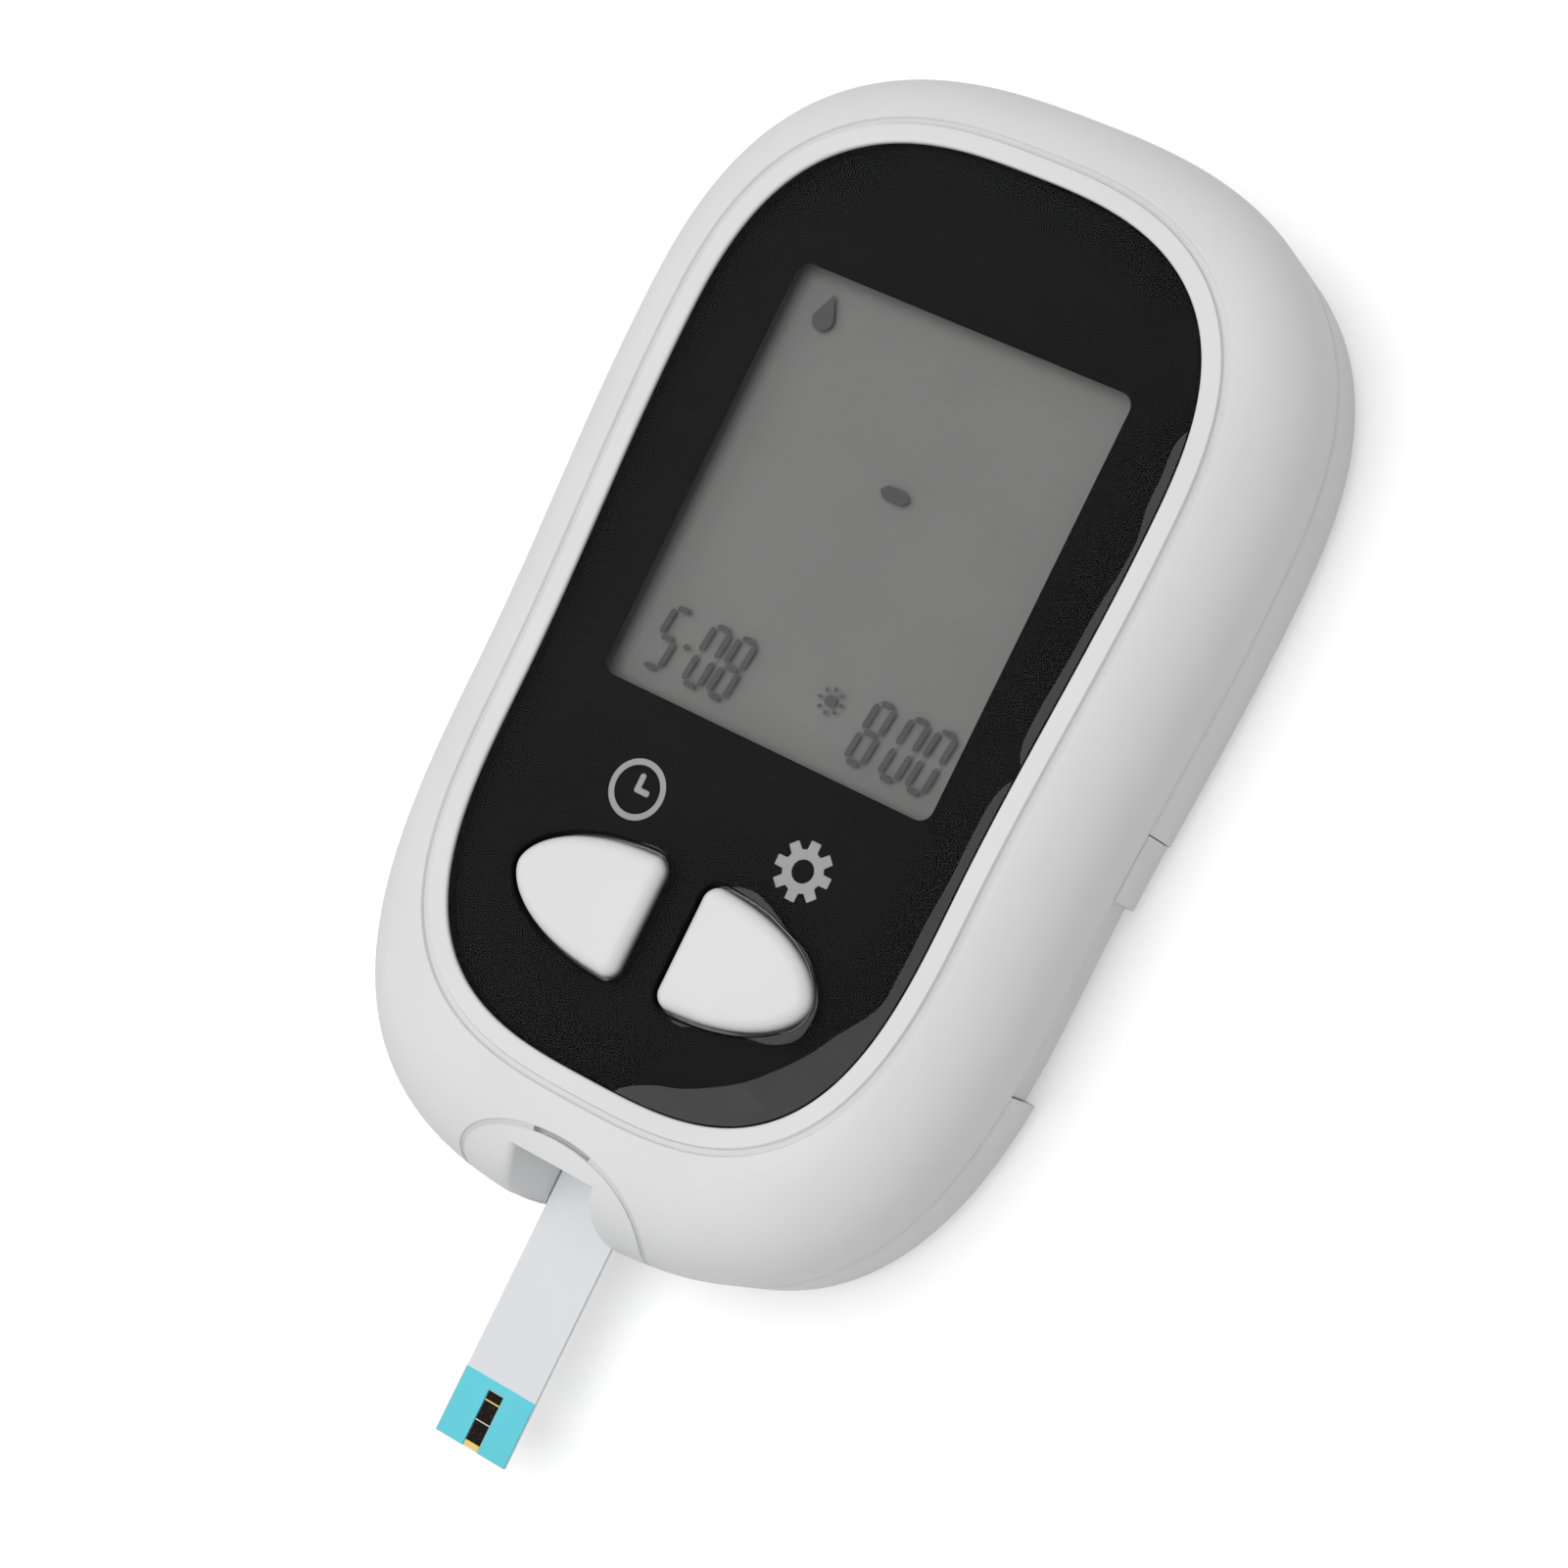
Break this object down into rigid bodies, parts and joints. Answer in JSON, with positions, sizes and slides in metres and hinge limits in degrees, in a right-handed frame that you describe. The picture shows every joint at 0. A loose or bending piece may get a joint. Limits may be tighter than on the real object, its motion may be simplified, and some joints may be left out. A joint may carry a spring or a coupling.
{
  "type": "blood glucose meter",
  "caption": "Hand-held blood glucose meter with a glossy black display window, two sprung buttons, a battery door and a removable test strip in its end port.",
  "frame": {"origin": "on the back resting face, straight below the middle of the display", "axes": "+X to the meter's right, +Y towards its top end, away from the test strip, +Z out of the display"},
  "size_m": [0.059, 0.1168, 0.0203],
  "materials": {
    "shell_white": "satin white moulded plastic",
    "button_white": "satin white moulded plastic",
    "window": "clear window printed glossy black behind",
    "tape": "black double-sided adhesive tape",
    "film": "clear protective film",
    "switch_metal": "plated switch frame",
    "black_resin": "black moulded resin",
    "polarizer": "grey polarizer over the display",
    "display_glass": "thin display glass",
    "reflector": "silvery reflector film",
    "holder_white": "white moulded frame",
    "zebra": "silicone with fine conductive layers",
    "board": "green solder mask on fibreglass",
    "plated_metal": "nickel plated",
    "capacitor": "orange moulded body",
    "resistor": "dark glazed chips with tinned ends",
    "connector_white": "ivory moulded connector",
    "gold": "gold plated",
    "strip_white": "white printed polyester",
    "strip_teal": "teal printed film",
    "reagent": "dried dark reagent",
    "cell_jacket": "plain printed jacket on a steel can"
  },
  "bodies": {
    "housing": {"front_shell": "shell_white", "back_shell": "shell_white", "strip_port_bezel": "shell_white", "display_window": "window", "window_tape": "tape", "protective_film": "film", "left_switch": "switch_metal", "right_switch": "switch_metal", "lcd_front_polarizer": "polarizer", "lcd_front_glass": "display_glass", "lcd_rear_glass": "display_glass", "lcd_reflector": "reflector", "lcd_holder": "holder_white", "upper_zebra_strip": "zebra", "lower_zebra_strip": "zebra", "circuit_board": "board", "processor_chip": "black_resin", "amplifier_chip": "black_resin", "memory_chip": "black_resin", "clock_crystal": "plated_metal", "buzzer": "black_resin", "filter_capacitor": "capacitor", "chip_resistors": "resistor", "strip_connector": "connector_white", "strip_contacts": "gold", "upper_cell": "cell_jacket", "lower_cell": "cell_jacket", "upper_cell_spring": "plated_metal", "lower_cell_spring": "plated_metal", "cell_link_plate": "plated_metal", "positive_terminal": "plated_metal", "negative_terminal": "plated_metal", "housing_screws": "plated_metal", "board_screws": "plated_metal"},
    "battery_door": {"battery_door": "shell_white"},
    "left_button": {"left_button": "button_white", "left_switch_plunger": "black_resin"},
    "right_button": {"right_button": "button_white", "right_switch_plunger": "black_resin"},
    "test_strip": {"strip_base": "strip_white", "strip_electrodes": "gold", "strip_insulation": "strip_white", "strip_cover": "strip_teal", "strip_reagent": "reagent"}
  },
  "joints": [
    {"name": "left_button_press", "type": "slide", "parent": "housing", "child": "left_button", "axis": [0, 0, -1], "range_m": [0, 0.00035], "stiffness_N_per_m": 3500, "springref_m": -0.00005},
    {"name": "right_button_press", "type": "slide", "parent": "housing", "child": "right_button", "axis": [0, 0, -1], "range_m": [0, 0.00035], "stiffness_N_per_m": 3500, "springref_m": -0.00005},
    {"name": "battery_door_lift", "type": "slide", "parent": "housing", "child": "battery_door", "axis": [0, 0, -1], "range_m": [0, 0.015]},
    {"name": "test_strip_pull", "type": "slide", "parent": "housing", "child": "test_strip", "axis": [0, -1, 0], "range_m": [0, 0.014]}
  ]
}
